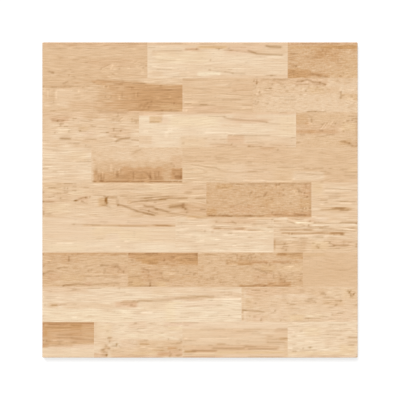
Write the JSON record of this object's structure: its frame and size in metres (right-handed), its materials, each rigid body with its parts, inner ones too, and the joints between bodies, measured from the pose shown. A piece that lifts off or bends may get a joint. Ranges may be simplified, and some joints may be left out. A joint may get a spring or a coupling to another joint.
{
  "type": "wood-look floor tile",
  "caption": "Square glazed ceramic floor tile with a printed wood-strip face, an eased face edge and a keyed waffle back for bedding in adhesive.",
  "frame": {"origin": "centre of the back, on the plane that the back's ribs and rim rest on", "axes": "+Z out of the decorated face, +X along the printed wood strips, +Y across the strips towards the edge that the picture shows at the top"},
  "size_m": [0.45, 0.45, 0.008],
  "materials": {
    "glazed_body": "satin"
  },
  "bodies": {
    "root": {"tile": "glazed_body"}
  },
  "joints": []
}
